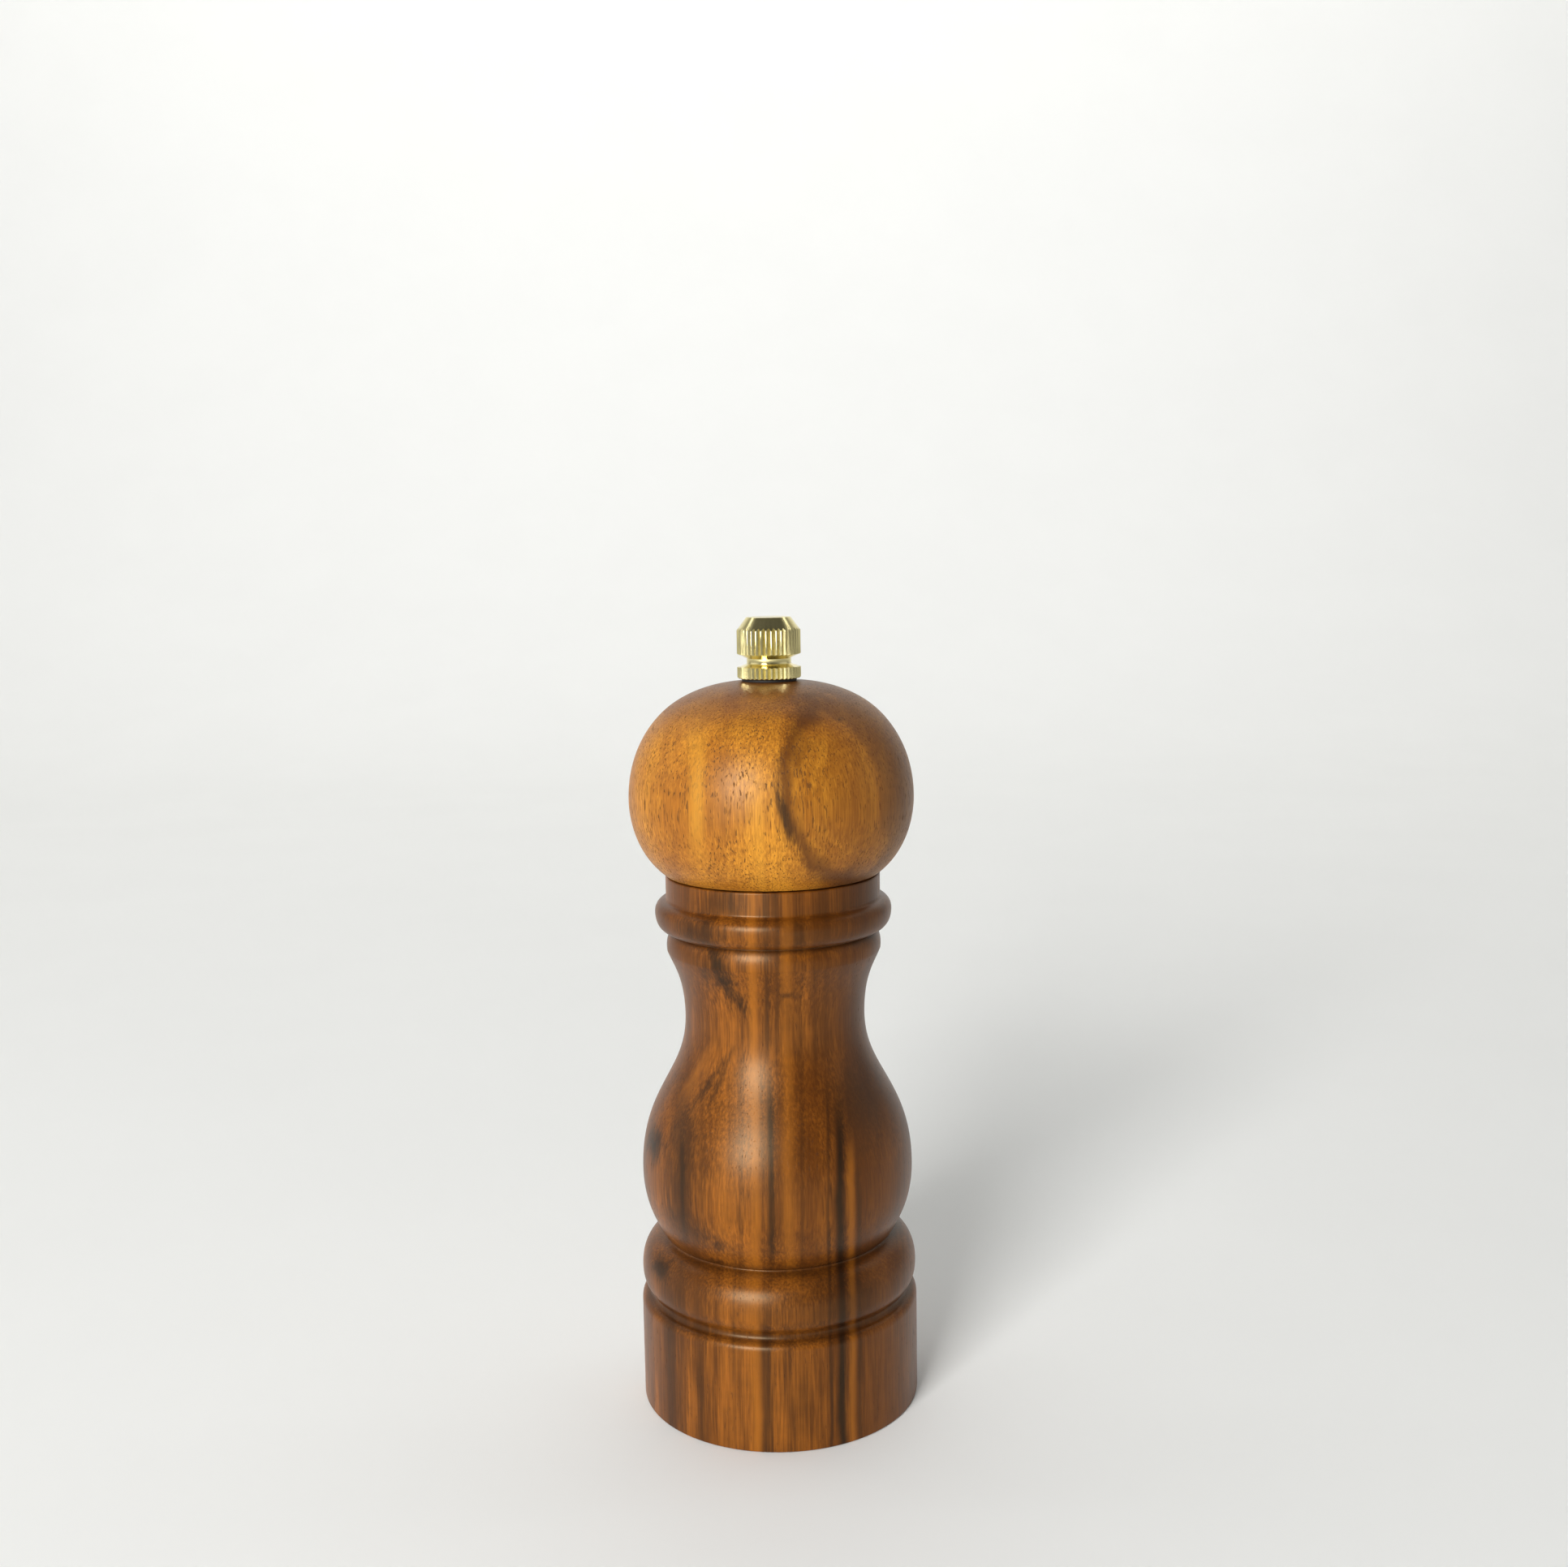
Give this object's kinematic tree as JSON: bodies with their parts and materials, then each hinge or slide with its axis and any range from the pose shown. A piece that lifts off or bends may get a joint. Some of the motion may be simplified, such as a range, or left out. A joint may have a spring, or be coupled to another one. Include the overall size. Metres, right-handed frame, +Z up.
{
  "type": "pepper mill",
  "caption": "Turned hardwood pepper mill with a round head, a knurled brass knob on top and a steel burr mechanism in its base.",
  "frame": {"origin": "centre of the base, on the surface that the mill stands on", "axes": "+Z up along the turning axis, +Y away from the front"},
  "size_m": [0.0586, 0.0586, 0.165],
  "materials": {
    "body_wood": "dark streaked hardwood under satin lacquer",
    "head_wood": "golden brown hardwood under satin lacquer",
    "knob_brass": "polished, straight knurled bands",
    "black_fibre": "black vulcanised fibre",
    "shaft_steel": "drawn square bar",
    "plate_steel": "stamped and zinc plated",
    "screw_steel": "zinc plated",
    "spring_steel": "drawn spring wire",
    "burr_steel": "hardened, dark grey",
    "die_cast_zinc": "as cast, satin",
    "nylon": "natural, matt"
  },
  "bodies": {
    "body": {"body_shell": "body_wood", "grinder_housing": "die_cast_zinc", "retaining_ring": "plate_steel", "outer_burr": "burr_steel", "guide_bush": "nylon", "housing_screw_1": "screw_steel", "housing_screw_2": "screw_steel", "housing_screw_3": "screw_steel"},
    "drive": {"spring_seat": "plate_steel"},
    "spindle": {"spindle_shaft": "shaft_steel", "inner_burr": "burr_steel", "burr_washer": "plate_steel", "burr_nut": "screw_steel", "burr_spring": "spring_steel"},
    "head": {"head": "head_wood", "drive_plate": "plate_steel", "drive_plate_screw_1": "screw_steel", "drive_plate_screw_2": "screw_steel"},
    "knob_washer": {"knob_washer": "black_fibre"},
    "knob": {"knob": "knob_brass"}
  },
  "joints": [
    {"name": "grind_turn", "type": "hinge", "parent": "body", "child": "drive", "pos_m": [0, 0, 0.028], "axis": [0, 0, 1], "continuous": true},
    {"name": "grind_adjust", "type": "slide", "parent": "drive", "child": "spindle", "axis": [0, 0, 1], "range_m": [0, 0.0016], "deforming": ["burr_spring"]},
    {"name": "head_lift", "type": "slide", "parent": "drive", "child": "head", "axis": [0, 0, 1], "range_m": [0, 0.07]},
    {"name": "knob_lift", "type": "slide", "parent": "head", "child": "knob_washer", "axis": [0, 0, 1], "range_m": [0, 0.014]},
    {"name": "knob_turn", "type": "hinge", "parent": "knob_washer", "child": "knob", "pos_m": [0, 0, 0.155], "axis": [0, 0, 1], "range_deg": [-720, 0]}
  ],
  "couplings": [
    {"joint": "knob_turn", "follows": "grind_adjust", "rad_per_m": -7854}
  ]
}
